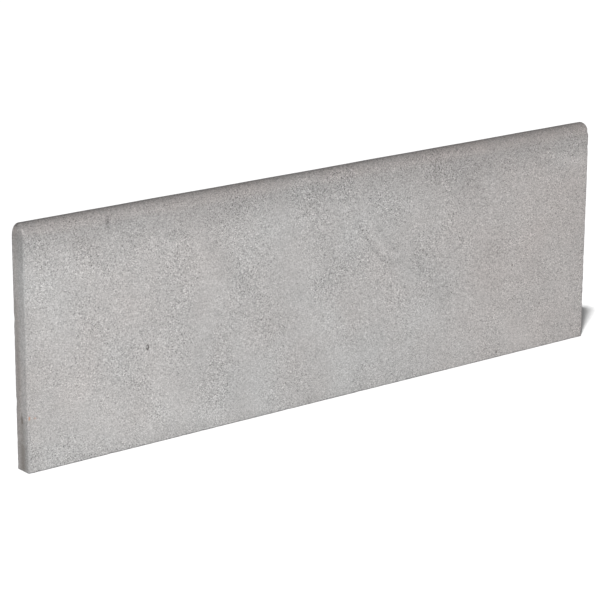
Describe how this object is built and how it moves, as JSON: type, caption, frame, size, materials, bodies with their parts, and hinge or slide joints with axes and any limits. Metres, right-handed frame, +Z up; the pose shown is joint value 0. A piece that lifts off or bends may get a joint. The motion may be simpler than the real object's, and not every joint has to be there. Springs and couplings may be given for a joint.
{
  "type": "stone garden edging",
  "caption": "Long thin upright slab of grey natural stone with a full half-round head and a flat sawn foot, set on edge in a row to hold the border of a lawn, path or bed.",
  "frame": {"origin": "centre of the foot, on the level ground that the piece stands on", "axes": "+X along the piece, +Y through the thickness from the front face to the back face, +Z up to the rounded head"},
  "size_m": [0.9, 0.025, 0.3],
  "materials": {
    "stone": "pale grey natural stone, matt, finely speckled grain with soft cloudy patches, sawn faces, lightly eased arrises"
  },
  "bodies": {
    "root": {"edging_stone": "stone"}
  },
  "joints": []
}
